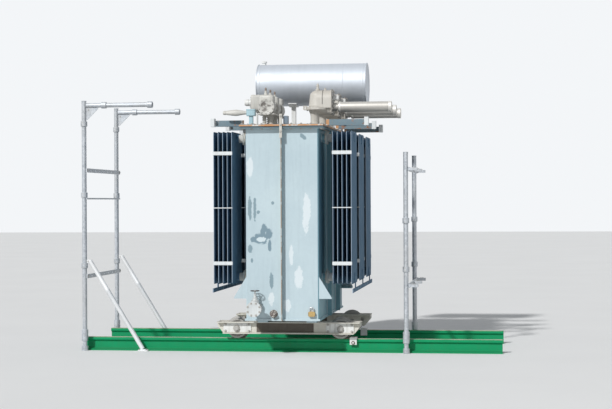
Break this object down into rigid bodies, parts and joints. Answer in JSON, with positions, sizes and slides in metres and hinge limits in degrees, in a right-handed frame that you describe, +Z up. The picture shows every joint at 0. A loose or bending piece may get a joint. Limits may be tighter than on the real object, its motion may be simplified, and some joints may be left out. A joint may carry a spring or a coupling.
{
  "type": "power transformer",
  "caption": "Oil-filled power transformer with finned radiators and a conservator, on flanged wheels and rails, with galvanised tube frames at both ends.",
  "frame": {"origin": "on the ground under the middle of the tank, at the bottom centre of the whole object", "axes": "+X along the rails towards the round bushing hoods, +Y from the drain valve side to the conservator side, +Z up"},
  "size_m": [4.33, 2.328, 3.1142],
  "materials": {
    "rail_paint": "green gloss paint, scuffed, worn bright on the head",
    "wheel_iron": "oily cast iron with light rust",
    "beam_paint": "chalky cream paint with rust",
    "white_paint": "matt white paint",
    "tank_paint": "weathered pale blue-grey paint with repair patches",
    "gasket_rubber": "matt black gasket",
    "lid_paint": "blue-grey paint, orange rust along the edge",
    "radiator_paint": "satin blue-grey paint",
    "aluminium": "brushed silver sheet",
    "housing_paint": "beige cast housing paint",
    "tube_metal": "warm brushed grey",
    "box_paint": "pale grey cast metal",
    "brass": "dull brass",
    "galvanised": "galvanised, faint spangle"
  },
  "bodies": {
    "root": {"rail_front": "rail_paint", "rail_rear": "rail_paint", "wheel_front_left": "wheel_iron", "wheel_front_right": "wheel_iron", "wheel_rear_left": "wheel_iron", "wheel_rear_right": "wheel_iron", "sampling_valve": "wheel_iron", "base_beam_front": "beam_paint", "base_beam_rear": "beam_paint", "rail_clamp_front": "white_paint", "rail_clamp_rear": "white_paint", "conservator_stand_left": "white_paint", "conservator_stand_right": "white_paint", "oil_pipe": "white_paint", "filler_cap": "white_paint", "level_gauge": "white_paint", "breather": "white_paint", "tank_body": "tank_paint", "lid_gasket": "gasket_rubber", "tank_lid": "lid_paint", "radiator_left_front": "radiator_paint", "radiator_left_middle": "radiator_paint", "radiator_left_rear": "radiator_paint", "radiator_right_front": "radiator_paint", "radiator_right_middle": "radiator_paint", "radiator_right_rear": "radiator_paint", "radiator_tie_left": "radiator_paint", "radiator_tie_right": "radiator_paint", "junction_box": "radiator_paint", "conservator_shell": "aluminium", "conservator_end_left": "aluminium", "conservator_end_right": "aluminium", "bushing_hood_1": "housing_paint", "bushing_hood_2": "housing_paint", "bushing_hood_3": "housing_paint", "lid_post": "housing_paint", "drain_valve": "housing_paint", "filter_valve": "housing_paint", "cable_tube_1": "tube_metal", "cable_tube_2": "tube_metal", "cable_tube_3": "tube_metal", "cable_box_1": "box_paint", "cable_box_2": "box_paint", "cable_box_3": "box_paint", "auxiliary_terminal": "box_paint", "padlock": "brass", "left_pole_front": "galvanised", "left_pole_rear": "galvanised", "left_arm_front": "galvanised", "left_arm_rear": "galvanised", "left_brace_front": "galvanised", "left_brace_rear": "galvanised", "left_crossbar_high": "galvanised", "left_crossbar_middle": "galvanised", "left_crossbar_low": "galvanised", "right_pole_front": "galvanised", "right_pole_rear": "galvanised", "right_cleat_high": "galvanised", "right_cleat_low": "galvanised"}
  },
  "joints": []
}
